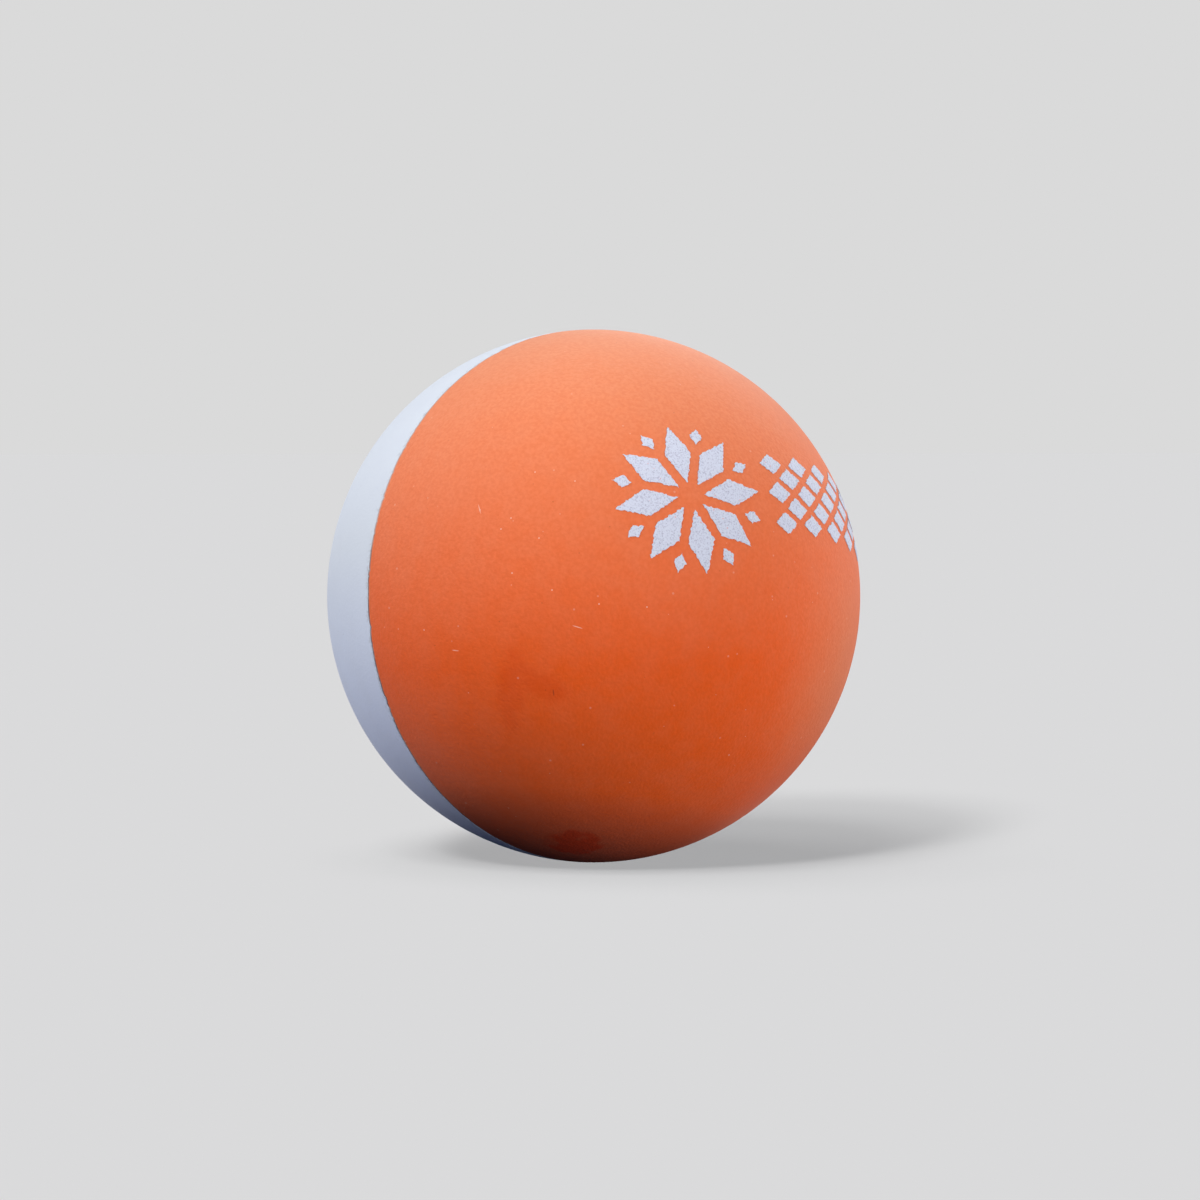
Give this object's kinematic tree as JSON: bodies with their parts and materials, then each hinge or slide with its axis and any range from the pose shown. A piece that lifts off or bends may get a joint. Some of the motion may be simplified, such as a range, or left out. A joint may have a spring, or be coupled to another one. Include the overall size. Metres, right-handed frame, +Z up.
{
  "type": "frontenis ball",
  "caption": "Hollow pressurised rubber ball for frontenis: an orange and a white moulded half shell cemented together rim to rim at the equator.",
  "frame": {"origin": "centre of the ball", "axes": "+X along the axis of the mouldings, out of the orange half; the seam stands upright in the YZ plane; +Z up"},
  "size_m": [0.05, 0.05, 0.05],
  "materials": {
    "orange_rubber": "matte",
    "white_rubber": "matte",
    "rubber_cement": "matte",
    "silver_ink": "matte"
  },
  "bodies": {
    "root": {"orange_half_shell": "orange_rubber", "white_half_shell": "white_rubber", "seam_cement": "rubber_cement"}
  },
  "joints": []
}
